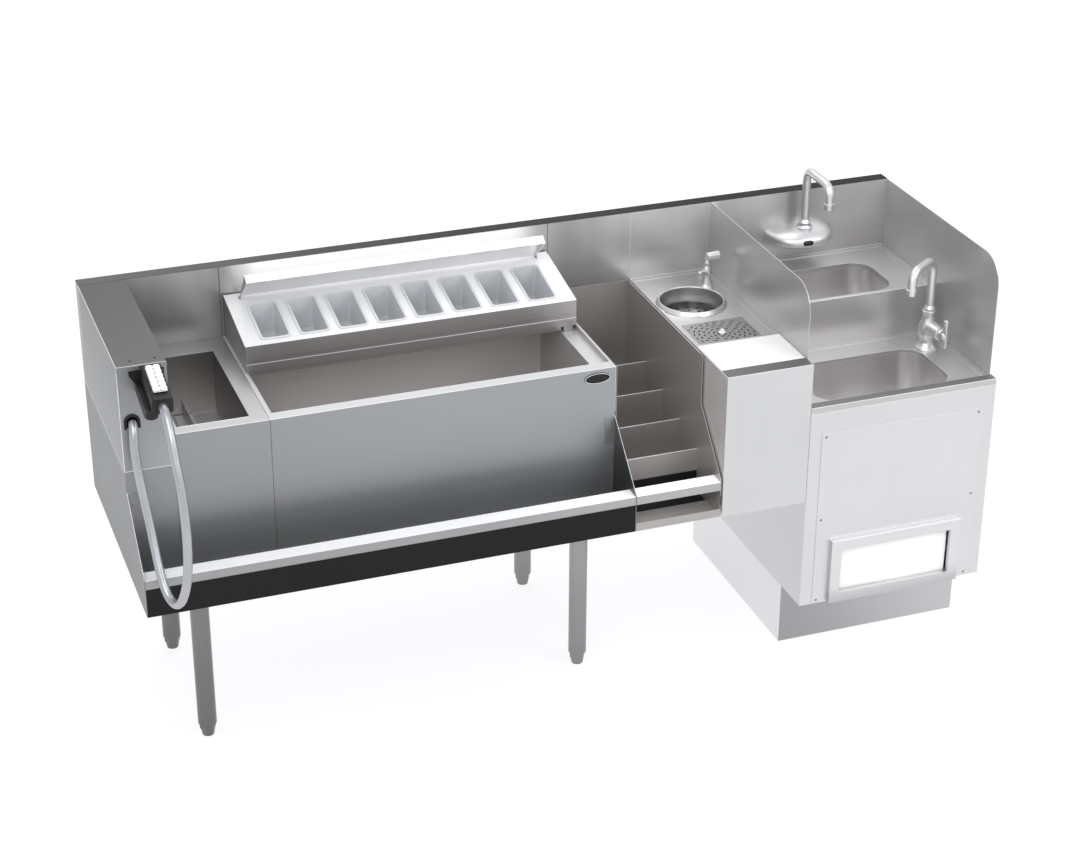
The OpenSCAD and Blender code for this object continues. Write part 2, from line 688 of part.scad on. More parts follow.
module sink_cabinet() place() color("gainsboro") {
    low = kick_h;
    block([x_sink, 0, low], [x_sink + t, station_d, lip_h - fold]);
    block([x_end - t, 0, low], [x_end, station_d, lip_h - fold]);
    block([x_sink, 0, low], [x_end, station_d, low + t]);
    block([x_end - t, 25.5, lip_h - fold - 1], [x_end, splash_y - seam, lip_h]);
    block([x_end - t, splash_y - seam, lip_h - fold - 1], [x_end, station_d, seam_h - seam]);
    block([x_sink, station_d - t, low], [x_end, station_d, seam_h - seam]);
    difference() {
        block([x_sink, 0, low], [x_end, t, lip_h - fold]);
        block([panel_x0 + 12, -1, panel_z0 + 9], [panel_x1 - 12, t + 1, panel_z1 - 12]);
    }
}

module access_panel() place() color("gainsboro") difference() {
    block([panel_x0, -panel_t, panel_z0], [panel_x1, 0, panel_z1]);
    block([box_x0 - gap, -3, box_z0 - gap], [box_x1 + gap, 1, box_z1 + gap]);
}

module towel_box() place() color("silver") {
    difference() {
        block([towel_x0, -towel_proud, towel_z0], [towel_x1, -panel_t, towel_z0 + towel_h]);
        block([towel_x0 + towel_border, -towel_proud - 1, towel_z0 + towel_border],
              [towel_x1 - towel_border, 0, towel_z0 + towel_h - towel_border]);
    }
    difference() {
        block([box_x0, -panel_t, box_z0], [box_x1, box_d, box_z1]);
        block([box_x0 + panel_t, -5, box_z0 + panel_t], [box_x1 - panel_t, box_d - panel_t, box_z1 - panel_t]);
        translate([box_x0 - 1, roll_y, roll_z]) rotate([0, 90, 0]) cylinder(r = spindle_r + fit, h = towel_w);
    }
}
roll_y = roll_r + 4;
roll_z = (box_z0 + box_z1) / 2;
spindle_r = 5;
module towel_roll() place() color("white") translate([0, roll_y, roll_z]) rotate([0, 90, 0]) {
    translate([0, 0, box_x0 + 12]) cylinder(r = roll_r, h = box_x1 - box_x0 - 24);
    translate([0, 0, box_x0 - 3]) cylinder(r = spindle_r, h = box_x1 - box_x0 + 6);
}

module kick_base() place() color("silver") difference() {
    block([x_sink, kick_setback, 0], [x_end - 5, station_d, kick_h]);
    block([x_sink + t, kick_setback + t, -1], [x_end - 5 - t, station_d - t, kick_h + 1]);
}

upper_y0 = lower_deck_d + 15;
upper_size = [292, splash_y - 80 - upper_y0];
upper_x = x_end - 93 - upper_size[0];
lower_size = [330, lower_deck_d - 78 - 33];
lower_x = x_end - 86 - lower_size[0];
lower_y = 33;
upper_floor = deck_h - upper_bowl_h;
lower_floor = lip_h - lower_bowl_h;
// The skirt of an edge strip or deck that a bowl's wall hangs from
upper_seat = deck_h - fold;
lower_seat = lip_h - fold;
module bowl(x, y, size, low, high, grow) translate([x - grow, y - grow, low - grow])
    linear_extrude(high - low + grow) rrect(size[0] + 2 * grow, size[1] + 2 * grow, bowl_r + grow);
module sink_top() place() color("silver") difference() {
    x0 = x_sink + seam;
    x1 = x_end - t - 0.4;
    lower_z = lip_h - 5;
    union() {
        block([x0, lower_deck_d - t, deck_h - fold], [x1, splash_y + t, deck_h]);
        block([x0, lower_deck_d - t, lower_z - 9], [x1, lower_deck_d, deck_h - 1]);
        block([x0, 0, lip_h - fold], [x1, lower_deck_d, lower_z]);
        block([x_sink, 0, lip_h - fold], [x_end, 25, lip_h]);
    }
    // Pressed floors of both decks
    block([x0 + 16, upper_y0 - 6, deck_h - marine], [x1 - 16, splash_y - 14, deck_h + 1]);
    block([x0 + 16, 25 - 0.01, lower_z - marine], [x1 - 16, lower_deck_d - 18, lower_z + 0.01]);
    bowl(upper_x, upper_y0, upper_size, upper_floor, deck_h + 5, 0);
    bowl(lower_x, lower_y, lower_size, lower_floor, lip_h + 5, 0);
    translate([lever_x, lever_y, lower_z - 30]) cylinder(r = 12, h = 40);
}

// A deep-drawn bowl that hangs under its deck
module liner(x, y, size, low, high, drain) difference() {
    bowl(x, y, size, low, high, t);
    bowl(x, y, size, low, high + 1, 0);
    translate(drain - [0, 0, 10]) cylinder(r = drain_r - 2, h = 20);
}
module upper_bowl() place() color("silver")
    liner(upper_x, upper_y0, upper_size, upper_floor, upper_seat, upper_drain);
module lower_bowl() place() color("silver")
    liner(lower_x, lower_y, lower_size, lower_floor, lower_seat, lower_drain);
upper_drain = [upper_x + upper_size[0] / 2, upper_y0 + upper_size[1] / 2, upper_floor];
lower_drain = [lower_x + lower_size[0] / 2, lower_y + lower_size[1] / 2, lower_floor];
dump_drain = [x_rinse + dump_x, dump_y, deck_h - marine - 77.5];
bin_drain = [drain_x, drain_y, bin_floor];

// A tailpiece with its flange under a bowl, ending at z = low
module tailpiece(c, low) translate([c[0], c[1], 0]) difference() {
    union() {
        translate([0, 0, low]) cylinder(r = drain_r, h = c[2] - t - low);
        translate([0, 0, c[2] - t - 3]) cylinder(r = drain_r + 12, h = 3);
    }
    translate([0, 0, low - 1]) cylinder(r = drain_r - 2, h = c[2] + 10 - low);
}
module drains() place() color("silver") {
    tailpiece(upper_drain, upper_floor - 90);
    tailpiece(lower_drain, lower_floor - 90);
    tailpiece(dump_drain + [0, 0, t], base_h + 90);
    tailpiece(bin_drain, base_h - 40);
}

// ---- faucets ----
wall_x = x_end - 234.9;
wall_y = splash_y - 40;
wall_z = top_h - 107;
collar_h = 26;
wall_collar_z = wall_z + 20;
module wall_faucet() place() color("silver") {
    difference() {
        union() {
            hull() {
                for (dx = [-56, 52]) translate([wall_x + dx, splash_y, wall_z - 2])
                    rotate([90, 0, 0]) cylinder(r = 26, h = 12, $fn = 32);
                translate([wall_x - 4, wall_y - 2, wall_z]) sphere(r = 30, $fn = 32);
            }
            translate([wall_x, wall_y, wall_z]) cylinder(r = 14, h = 20 + collar_h - 6);
        }
        translate([wall_x, wall_y, wall_collar_z]) cylinder(r = 7 + fit, h = 80);
    }
}

// A swan-neck spout: pin, riser, run of the given reach towards -Y, and drop
module spout(pin_h, rise, reach, drop, bend) {
    translate([0, 0, -pin_h]) cylinder(r = 7, h = pin_h + 1);
    cylinder(r = spout_r + 3, h = 5);
    cylinder(r = spout_r, h = rise - bend);
    translate([0, -bend, rise - bend]) elbow(spout_r, bend);
    translate([0, -bend, rise]) rotate([90, 0, 0]) cylinder(r = spout_r, h = reach - 2 * bend);
    translate([0, -reach + bend, rise - bend]) rotate([0, 0, 180]) elbow(spout_r, bend);
    translate([0, -reach, rise - bend - drop]) cylinder(r = spout_r, h = drop);
    translate([0, -reach, rise - bend - drop - 12]) cylinder(r = spout_r + 2, h = 16);
}
module wall_spout() place() color("silver")
    translate([wall_x, wall_y, wall_collar_z + collar_h - 6 + gap])
        spout(14, 133, 117, 20, 24);

lever_x = x_end - 62;
lever_y = 214;
lever_z = lip_h - 5 - marine;
lever_body_h = 56;
stub_h = 53;
stub_l = 58;
stub_turn = 8;
module lever_faucet() place() color("silver") translate([lever_x, lever_y, lever_z]) rotate([0, 0, stub_turn]) {
    difference() {
        union() {
            rotate_extrude() polygon([
                [0, 0], [28, 0], [28, 4], [24, 9], [16, 16], [14, 24], [18, 40], [17, 52], [13, 62],
                [12, 96], [0, 96]]);
            translate([0, 0, -30]) cylinder(r = 11, h = 31);
            translate([0, 0, stub_h]) rotate([90, 0, 0]) cylinder(r1 = 16, r2 = 12, h = stub_l);
        }
        translate([0, 0, 80]) cylinder(r = 7 + fit, h = 40);
        translate([0, -stub_l + 12, stub_h]) rotate([90, 0, 0]) cylinder(r = 5 + fit, h = 30);
    }
}
module lever_spout() place() color("silver")
    translate([lever_x, lever_y, lever_z + 96 + gap]) rotate([0, 0, -55])
        spout(14, 124, 102, 14, 28);
module lever_handle() place() color("silver")
    translate([lever_x, lever_y, lever_z + stub_h]) rotate([0, 0, stub_turn])
    translate([0, -stub_l - gap, 0]) rotate([90, 0, 0]) {
        translate([0, 0, -12]) cylinder(r = 5, h = 20);
        cylinder(r = 8, h = 12);
        translate([0, 0, 8]) rotate([90, 0, 0]) translate([0, 0, -41]) cylinder(r = 5, h = 69);
    }

splash_panels();
side_splashes();
gun_housing();
hose_grommet();
gun_hose();
holster();
gun_body();
end_panels();
front_panels();
rail_rim();
base_pan();
legs();
well_liner();
well_divider();
bin_liner();
cold_plate();
garnish_rack();
garnish_lid();
step_display();
rinser_cabinet();
rinser_deck();
dump_bowl();
dump_strainer();
drip_grate();
rinser_spider();
cutting_board();
filler_faucet();
filler_lever();
sink_cabinet();
access_panel();
towel_box();
towel_roll();
kick_base();
sink_top();
upper_bowl();
lower_bowl();
drains();
wall_faucet();
wall_spout();
lever_faucet();
lever_spout();
lever_handle();
for (i = [1 : pan_n]) pan(i);
for (i = [1 : KEYS]) key(i);
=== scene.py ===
import math

import bmesh
import bpy
from mathutils import Matrix, Vector


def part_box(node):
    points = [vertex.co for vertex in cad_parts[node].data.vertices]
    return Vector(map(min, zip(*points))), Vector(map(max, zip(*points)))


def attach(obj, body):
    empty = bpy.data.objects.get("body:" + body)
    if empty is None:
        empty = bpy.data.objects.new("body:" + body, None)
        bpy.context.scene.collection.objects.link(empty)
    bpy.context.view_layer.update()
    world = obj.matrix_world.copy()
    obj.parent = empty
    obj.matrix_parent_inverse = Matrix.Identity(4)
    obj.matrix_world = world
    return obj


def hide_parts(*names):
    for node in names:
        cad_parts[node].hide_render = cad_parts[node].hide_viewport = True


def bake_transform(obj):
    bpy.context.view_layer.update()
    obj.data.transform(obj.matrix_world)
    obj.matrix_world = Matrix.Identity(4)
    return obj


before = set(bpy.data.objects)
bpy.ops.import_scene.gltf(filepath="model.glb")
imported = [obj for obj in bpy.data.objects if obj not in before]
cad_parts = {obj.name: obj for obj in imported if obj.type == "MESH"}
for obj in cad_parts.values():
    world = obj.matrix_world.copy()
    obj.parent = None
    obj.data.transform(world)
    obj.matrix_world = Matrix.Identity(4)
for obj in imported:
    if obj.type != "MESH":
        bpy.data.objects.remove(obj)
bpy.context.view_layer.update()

# ---------------------------------------------------------------------------
# The studio: a pale floor that runs past the picture, a soft sky, three broad
# panels of light, and the camera, high and to the left of the station.
# ---------------------------------------------------------------------------
scene = bpy.context.scene
scene.view_settings.view_transform = "Standard"

LEFT_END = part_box("end_panels")[0].x
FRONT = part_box("end_panels")[0].y


def mm(x, y, z):
    """A point given from the left end, the front plane and the floor, in millimetres."""
    return Vector((LEFT_END + x / 1000, FRONT + y / 1000, z / 1000))


CAMERA_PLACE = mm(-622.1, -4043.7, 2899.8)
CAMERA_LENS = 77.32

camera = bpy.data.objects.new("camera", bpy.data.cameras.new("camera"))
scene.collection.objects.link(camera)
scene.camera = camera
camera.data.sensor_width = 36
camera.data.lens = CAMERA_LENS
camera.data.clip_end = 100
ahead = Vector((0.3037, 0.8371, -0.4550)).normalized()
upward = Vector((0.1517, 0.4289, 0.8905))
side = ahead.cross(upward).normalized()
camera.matrix_world = Matrix.LocRotScale(
    CAMERA_PLACE,
    Matrix((side, side.cross(ahead), -ahead)).transposed().to_quaternion(),
    None,
)

floor_mesh = bpy.data.meshes.new("floor")
FLOOR_HALF = 40
floor_corners = [(x * FLOOR_HALF, y * FLOOR_HALF, 0) for x, y in ((-1, -1), (1, -1), (1, 1), (-1, 1))]
floor_mesh.from_pydata(floor_corners, [], [(0, 1, 2, 3)])
floor = bpy.data.objects.new("floor", floor_mesh)
scene.collection.objects.link(floor)
pale = bpy.data.materials.new("pale_floor")
pale.use_nodes = True
pale_shader = pale.node_tree.nodes["Principled BSDF"]
pale_shader.inputs["Base Color"].default_value = (0.2, 0.2, 0.2, 1)
pale_shader.inputs["Roughness"].default_value = 1
pale_shader.inputs["Emission Color"].default_value = (0.98, 0.985, 1, 1)
pale_shader.inputs["Emission Strength"].default_value = 0.86
floor_mesh.materials.append(pale)

world = bpy.data.worlds.new("soft_sky")
scene.world = world
world.use_nodes = True
sky = world.node_tree
sky_light = sky.nodes["Background"]
sky_way = sky.nodes.new("ShaderNodeTexCoord")
sky_split = sky.nodes.new("ShaderNodeSeparateXYZ")
sky_ramp = sky.nodes.new("ShaderNodeMapRange")
sky_mix = sky.nodes.new("ShaderNodeMix")
sky_mix.data_type = "RGBA"
sky_ramp.interpolation_type = "SMOOTHSTEP"
sky_ramp.inputs["From Min"].default_value = -0.3
sky_ramp.inputs["From Max"].default_value = 0.7
sky.links.new(sky_way.outputs["Generated"], sky_split.inputs[0])
sky.links.new(sky_split.outputs["Y"], sky_ramp.inputs["Value"])
sky.links.new(sky_ramp.outputs["Result"], sky_mix.inputs["Factor"])
sky_mix.inputs[6].default_value = (0.96, 0.98, 1.0, 1)
sky_mix.inputs[7].default_value = (0.70, 0.70, 0.71, 1)
sky.links.new(sky_mix.outputs[2], sky_light.inputs["Color"])
sky_light.inputs["Strength"].default_value = 0.9

for spot, aim, width, power in (
    ((-1.6, -2.6, 3.4), (0, 0, 0.6), 2.2, 45),
    ((2.2, -2.4, 3.0), (0.5, 0, 0.6), 2.0, 30),
    ((0.2, 1.6, 3.2), (0, 0, 0.8), 2.4, 25),
):
    lamp = bpy.data.lights.new("panel_light", "AREA")
    lamp.size = width
    lamp.energy = power
    holder = bpy.data.objects.new("panel_light", lamp)
    holder.location = spot
    holder.rotation_euler = (Vector(aim) - Vector(spot)).to_track_quat("-Z", "Y").to_euler()
    scene.collection.objects.link(holder)

# ---------------------------------------------------------------------------
# The gun's hose: a smooth silver sleeve over a bundle of lines. It comes out of
# the housing, hangs in one loop over the rail and ends in the front of the gun.
# ---------------------------------------------------------------------------


class Wire:
    """An output in a material's node tree. Sums and products on it add Math nodes."""

    def __init__(self, look, socket):
        self.look = look
        self.socket = socket

    def _math(self, operation, first, second):
        return self.look.node("ShaderNodeMath", {"operation": operation}, {0: first, 1: second})[0]

    def __add__(self, other):
        return self._math("ADD", self, other)

    def __sub__(self, other):
        return self._math("SUBTRACT", self, other)

    def __mul__(self, other):
        return self._math("MULTIPLY", self, other)

    def __rsub__(self, other):
        return self._math("SUBTRACT", other, self)

    __radd__ = __add__
    __rmul__ = __mul__


class Look:
    """A material with one Principled shader, and the nodes that feed it."""

    def __init__(self, name, **settings):
        self.material = bpy.data.materials.new(name)
        self.material.use_nodes = True
        self.tree = self.material.node_tree
        self.shader = self.tree.nodes["Principled BSDF"]
        for socket, value in settings.items():
            self.set(socket.replace("_", " "), value)
        where = self.node("ShaderNodeTexCoord")
        self.place = where["Object"]
        self.parts = self.node("ShaderNodeSeparateXYZ", None, {0: self.place})
        self.facing = self.node("ShaderNodeSeparateXYZ", None, {0: where["Normal"]})

    def node(self, kind, settings=None, inputs=None):
        made = self.tree.nodes.new(kind)
        for key, value in (settings or {}).items():
            setattr(made, key, value)
        for key, value in (inputs or {}).items():
            self._join(made.inputs[key], value)
        return {**{i: Wire(self, s) for i, s in enumerate(made.outputs)},
                **{s.name: Wire(self, s) for s in made.outputs}}

    def _join(self, socket, value):
        if isinstance(value, Wire):
            self.tree.links.new(value.socket, socket)
        elif socket.type == "RGBA":
            socket.default_value = (*value[:3], 1)
        else:
            socket.default_value = value

    def set(self, socket, value):
        self._join(self.shader.inputs[socket], value)

    def noise(self, scale, stretch=(1, 1, 1), detail=2):
        spread = self.node("ShaderNodeMapping", None, {"Vector": self.place, "Scale": stretch})[0]
        settings = {"Vector": spread, "Scale": scale, "Detail": detail}
        return self.node("ShaderNodeTexNoise", None, settings)[0]

    def blend(self, share, first, second):
        return self.node("ShaderNodeMix", {"data_type": "RGBA"}, {0: share, 6: first, 7: second})[2]

    def bump(self, height, depth):
        settings = {"Height": height, "Distance": depth, "Strength": 1.0}
        self.set("Normal", self.node("ShaderNodeBump", None, settings)[0])

    def along(self, axis, stops):
        """A value that runs along an axis through (place in mm, value) stops."""
        origin = {"X": LEFT_END, "Y": FRONT, "Z": 0}[axis]
        value = None
        for (start, first), (end, last) in zip(stops, stops[1:]):
            step = self.node("ShaderNodeMapRange", {"interpolation_type": "SMOOTHSTEP"}, {
                "Value": self.parts[axis],
                "From Min": origin + start / 1000,
                "From Max": origin + end / 1000,
                "To Min": first if value is None else 0.0,
                "To Max": last if value is None else last - first,
            })[0]
            value = step if value is None else value + step
        return value

    def faces(self, axis, sense=1, low=0.45, high=0.8):
        """1 where the surface faces an axis, 0 elsewhere."""
        way = self.facing[axis]
        way = way * way if sense == 0 else way * float(sense)
        return self.node("ShaderNodeMapRange", None, {"Value": way, "From Min": low, "From Max": high})[0]


def shape(name, verts, faces, look, body, slot=None, stands_for=(), sharp=32, face_in=False):
    """Makes a piece from points in metres in the shared frame, and puts it on its body."""
    mesh = bpy.data.meshes.new(name)
    mesh.from_pydata([tuple(v) for v in verts], [], faces)
    work = bmesh.new()
    work.from_mesh(mesh)
    bmesh.ops.remove_doubles(work, verts=work.verts, dist=1e-6)
    bmesh.ops.recalc_face_normals(work, faces=work.faces)
    if face_in:
        bmesh.ops.reverse_faces(work, faces=work.faces)
    work.to_mesh(mesh)
    work.free()
    for face in mesh.polygons:
        face.use_smooth = True
    mesh.set_sharp_from_angle(angle=math.radians(sharp))
    mesh.materials.append(look.material)
    piece = bpy.data.objects.new(name, mesh)
    scene.collection.objects.link(piece)
    if body:
        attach(piece, body)
    if stands_for:
        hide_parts(*stands_for)
    return piece


def skin(loops, caps=(True, True)):
    """Quads between closed loops of the same number of points, with flat ends."""
    count = len(loops[0])
    verts = [p for loop in loops for p in loop]
    faces = [
        (i * count + k, i * count + (k + 1) % count, (i + 1) * count + (k + 1) % count, (i + 1) * count + k)
        for i in range(len(loops) - 1)
        for k in range(count)
    ]
    if caps[0]:
        faces.append(tuple(reversed(range(count))))
    if caps[1]:
        faces.append(tuple(range(len(verts) - count, len(verts))))
    return verts, faces


def smooth_path(points, steps):
    """A smooth line through the points, with the given steps from one to the next."""
    ends = [points[0] * 2 - points[1], *points, points[-1] * 2 - points[-2]]
    line = []
    for a, b, c, d in zip(ends, ends[1:], ends[2:], ends[3:]):
        for k in range(steps):
            s = k / steps
            line.append(0.5 * (2 * b + (c - a) * s + (2 * a - 5 * b + 4 * c - d) * s * s
                               + (3 * b - a - 3 * c + d) * s ** 3))
    return line + [points[-1]]


def sweep(path, radii, sides, first_side=Vector((1, 0, 0))):
    """Rings along a path, square to it, without twist."""
    loops = []
    across = first_side
    for i, point in enumerate(path):
        way = (path[min(i + 1, len(path) - 1)] - path[max(i - 1, 0)]).normalized()
        across = (across - way * across.dot(way)).normalized()
        other = way.cross(across)
        r = radii[i] if isinstance(radii, (list, tuple)) else radii
        loops.append([point + (across * math.cos(a) + other * math.sin(a)) * r
                      for a in (2 * math.pi * k / sides for k in range(sides))])
    return loops


HOSE_ROUTE = [
    mm(*p) for p in (
        (23.5, 129.3, 800), (23, 122, 797), (22, 114, 788), (20.5, 107, 773), (19.5, 100, 752),
        (20, 90, 722), (22, 78, 690), (25, 62, 652), (28, 43, 612), (30, 20, 570),
        (32, -4, 531), (36, -24, 501), (42, -43, 483), (50, -62, 480), (57, -79, 493),
        (63, -94, 520), (68, -106, 556), (71, -111, 598), (73, -110, 642), (74, -104, 686),
        (74, -93, 728), (73, -78, 766), (71, -60, 802), (70, -41, 838), (69, -19, 864.5),
        (68, -4, 877.6), (67.5, 6, 881.8), (67.5, 14.1, 883.6))
]
HOSE_RADIUS = 0.0092

sleeve = Look("silver_sleeve", Metallic=0.85, Coat_Weight=0.15, Coat_Roughness=0.3)
sleeve_cloud = sleeve.noise(14, detail=3)
sleeve.set("Base Color", sleeve.blend(sleeve_cloud, (0.36, 0.37, 0.39), (0.50, 0.51, 0.53)))
sleeve.set("Roughness", sleeve_cloud * 0.12 + 0.24)
sleeve.bump(sleeve.noise(900, detail=1), 0.00012)

hose_line = smooth_path(HOSE_ROUTE, 7)
hose = shape("hose", *skin(sweep(hose_line, HOSE_RADIUS, 32)), sleeve, None, "hose", ["gun_hose"])
hose_length = sum((b - a).length for a, b in zip(hose_line, hose_line[1:]))
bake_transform(hose)

# ---------------------------------------------------------------------------
# Backsplash and side splashes: folded 1.5 mm stainless sheet, brushed along its
# length, one panel to each bay, with painted shade and reflection on the panels, and
# painted shade making the return along the top dark.
# ---------------------------------------------------------------------------


def grey(value, warm=0.0):
    return (value * (1 + warm), value, value * (1 - warm * 0.6 + 0.01))


def steel(name, front, top=None, ends=None, rough=0.32, grain="X", across=(), upright=(),
          white=0.0, matt=0.0):
    """Brushed sheet with a tone for each way it faces: to the front, up, and to the ends.

    The tones for each facing are painted light and shade. Front and top may be functions that make a
    tone from the look. The stops in across and upright vary the tone along X and along Z as painted
    shade and reflection. Matt is the share of the surface that scatters light like a matt one, and
    white is that share on upward faces, used there to paint a matt highlight.
    """
    look = Look(name)
    up = look.faces("Z")
    sideways = look.faces("X", 0)
    front, top = (shade(look) if callable(shade) else shade for shade in (front, top))
    lines = look.noise(1, {"X": (6, 1100, 1100), "Y": (1100, 6, 1100), "Z": (1100, 1100, 6)}[grain], 2)
    cloud = look.noise(4, detail=3)
    tone = (lines - 0.5) * 0.09 + (cloud - 0.5) * 0.10 + 1.0
    if across:
        tone = tone * look.along("X", across)
    if upright:
        tone = tone * look.along("Z", upright)
    colour = look.blend(sideways, look.blend(up, front, top or front), ends or front)
    toned = look.node("ShaderNodeVectorMath", {"operation": "SCALE"}, {0: colour, "Scale": tone})[0]
    look.set("Base Color", toned)
    look.set("Roughness", (lines - 0.5) * 0.1 + (cloud - 0.5) * 0.05 + rough)
    look.set("Metallic", (1.0 - matt) - up * (white - matt) if white else 1.0 - matt)
    look.bump(lines, 0.00001)
    return look


def finish_sheet(node, look, edge=0.5):
    """A CAD sheet keeps its shape and gets its finish, with a small radius on its edges."""
    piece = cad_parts[node]
    for place in piece.material_slots:
        place.material = look.material
    weld = piece.modifiers.new("weld", "WELD")
    weld.merge_threshold = 0.00002
    if edge:
        round_off = piece.modifiers.new("edge", "BEVEL")
        round_off.width = edge / 1000
        round_off.segments = 2
        round_off.limit_method = "ANGLE"
        round_off.angle_limit = math.radians(35)
        round_off.use_clamp_overlap = True
        weigh = piece.modifiers.new("flat_faces", "WEIGHTED_NORMAL")
        weigh.weight = 80
    for face in piece.data.polygons:
        face.use_smooth = bool(edge)


def edge_strips(name, runs, look, body, radius=0.7):
    """Painted edge highlights: a thin round strip along each line of points, in the given look."""
    verts, faces = [], []
    for run in runs:
        points, quads = skin(sweep([mm(*p) for p in run], radius / 1000, 8, Vector((0.3, 0.5, 0.8))))
        faces += [tuple(k + len(verts) for k in face) for face in quads]
        verts += points
    return shape(name, verts, faces, look, body, "stainless")


# Near-white, half-matt strips that paint the highlights along the sheets' edges; the badge's white rim uses
# the same finish.
trim_and_painted_highlight = steel("steel_trim_and_painted_highlight", grey(0.97), grey(0.97), grey(0.97), 0.4, "X", (), (), 0.5, 0.5)
edge_strips("splash_edges", [
    [(1272, 564.2, 758.6), (1470, 564.2, 758.6)], [(1475, 564.2, 758.6), (1927, 564.2, 758.6)],
    [(1269.6, 564.4, 759), (1269.6, 564.4, 922)]], trim_and_painted_highlight, "station", 0.5)

# Painted shade and reflection: tone stops along X and Z make the backsplash darker low by the deck, lighter
# towards the top, and lighter or darker bay by bay.
splash = steel(
    "steel_splash", grey(1.0, 0.02), grey(0.5), grey(0.8), 0.3, "X",
    [(0, 0.31), (101, 0.31), (140, 0.36), (230, 0.42), (275, 0.36), (300, 0.30), (340, 0.5), (390, 0.82),
     (980, 0.82), (1055, 0.42), (1110, 0.36), (1170, 0.42), (1240, 0.58), (1300, 0.66), (1470, 0.66),
     (1500, 0.42), (1600, 0.50), (1700, 0.38), (1800, 0.55), (1930, 0.58)],
    [(758, 0.75), (800, 0.85), (850, 1.0), (923, 1.1)], 0.0, 0.3)
finish_sheet("splash_panels", splash, 0.6)
# Painted light: the side splashes' upward faces are lighter than their other faces.
finish_sheet("side_splashes", steel(
    "steel_side_splash", grey(0.5, 0.02), grey(0.9), grey(0.5, 0.02), 0.3, "Y", matt=0.35), 0.5)

# Painted shade: the return along the top of the backsplash is dark, darkening from left to right.
painted_shade_cap = steel("steel_cap_painted_shade", grey(1.0), grey(1.0), grey(1.0), 0.4, "X",
                 [(0, 0.17), (300, 0.135), (600, 0.08), (900, 0.045), (1500, 0.026), (1930, 0.026)])
cap_low, cap_high = mm(0.6, 567.5, 923.05), mm(1929.8, 599.4, 923.5)
cap_corners = [(x, y, z) for z in (cap_low.z, cap_high.z) for x, y in (
    (cap_low.x, cap_low.y), (cap_high.x, cap_low.y), (cap_high.x, cap_high.y), (cap_low.x, cap_high.y))]
cap_faces = [(0, 1, 2, 3), (4, 5, 6, 7), (0, 1, 5, 4), (1, 2, 6, 5), (2, 3, 7, 6), (3, 0, 4, 7)]
shape("splash_return", cap_corners, cap_faces, painted_shade_cap, "station", "stainless")

# ---------------------------------------------------------------------------
# Gun housing and left-hand body: bent sheet boxes with visible seams. The front
# panels are painted dark as shade under the rail; the rail's rim is folded, and its
# bright top is a painted matt highlight.
# ---------------------------------------------------------------------------
# Painted light and shade: the housing's top and ends are dark, and it darkens towards the top.
finish_sheet("gun_housing", steel(
    "steel_housing", grey(0.34, -0.02), grey(0.20), grey(0.22, -0.02), 0.36, "Y",
    upright=[(690, 1.1), (923, 0.8)]), 0.8)
# Painted shade: the end panels have dark ends and light tops, and darken towards the floor.
finish_sheet("end_panels", steel(
    "steel_end_panel", grey(0.34, -0.02), grey(0.8), grey(0.20, -0.02), 0.38, "Z",
    upright=[(420, 0.75), (560, 0.9), (660, 0.9), (690, 1.1)]), 0.5)
# Painted light and shade: the front panels lighten to the right and at their foot above the rail.
finish_sheet("front_panels", steel(
    "steel_front", grey(0.33, -0.02), grey(0.7), grey(0.4), 0.42, "X", [(101, 0.95), (1066, 1.08)],
    [(510, 1.2), (550, 0.95), (620, 0.98), (700, 1.0), (757, 1.0)], matt=0.2), 0.4)
# Painted highlight: the rim's upward faces are matt near-white, and the rim lightens to the right.
finish_sheet("rail_rim", steel(
    "steel_rim", grey(0.36), grey(0.97), grey(0.5), 0.4, "X",
    [(0, 0.95), (700, 1.0), (1200, 1.25)], white=1.0), 0.8)
# Painted shade: the pan is near black on its front and ends, grey on its back and top.
finish_sheet("base_pan", steel(
    "steel_shade", lambda look: look.blend(look.faces("Y"), grey(0.024), grey(0.45)),
    grey(0.45), grey(0.05), 0.4), 0.4)
# Painted shade: the left legs are darker, and each leg darkens to near black at its top under the body.
finish_sheet("legs", steel(
    "steel_leg", grey(0.33), grey(0.5), grey(0.33), 0.3, "Z", [(137, 0.64), (1000, 1.0)],
    [(0, 0.75), (120, 0.85), (300, 1.0), (395, 0.9), (421, 0.1)]), 0.7)

edge_strips("body_edges", [
    [(0.4, 133, 923), (101, 133, 923)], [(0.4, 133, 923), (0.4, 565, 923)],
    [(0.3, 132.9, 921), (0.3, 132.9, 692)],
    [(0.6, 132.6, 690), (101, 132.6, 690)], [(0.2, 133, 690), (0.2, 599, 690)],
    [(102.5, 132.9, 758), (1065.5, 132.9, 758)], [(117, 162.3, 758), (268, 162.3, 758)],
    [(314, 161.5, 757.6), (1026, 161.5, 757.6)],
    [(1066, 133, 757), (1066, 133, 651)]], trim_and_painted_highlight, "station", 0.6)

# ---------------------------------------------------------------------------
# Bottle well and ice bin: liners pressed and welded from sheet, with painted highlights
# along the narrow front edges of the deck. A cast aluminium cold plate lies under the ice.
# ---------------------------------------------------------------------------
# Painted light and shade: the liners, divider and cold plate get a tone for each way their faces turn.
finish_sheet("well_liner", steel(
    "steel_well", grey(0.34, 0.06), grey(0.62), grey(0.24, 0.06), 0.36, "X"), 0.6)
finish_sheet("bin_liner", steel(
    "steel_bin", grey(0.72, 0.05), grey(0.65), grey(0.46, 0.05), 0.45, "X", matt=0.5), 0.6)
finish_sheet("well_divider", steel("steel_divider", grey(0.5, 0.02), grey(0.9), grey(0.45), 0.34, "Y"), 0.4)
finish_sheet("cold_plate", steel("cast_aluminium", grey(0.5), grey(0.55), grey(0.5), 0.45), 1.0)

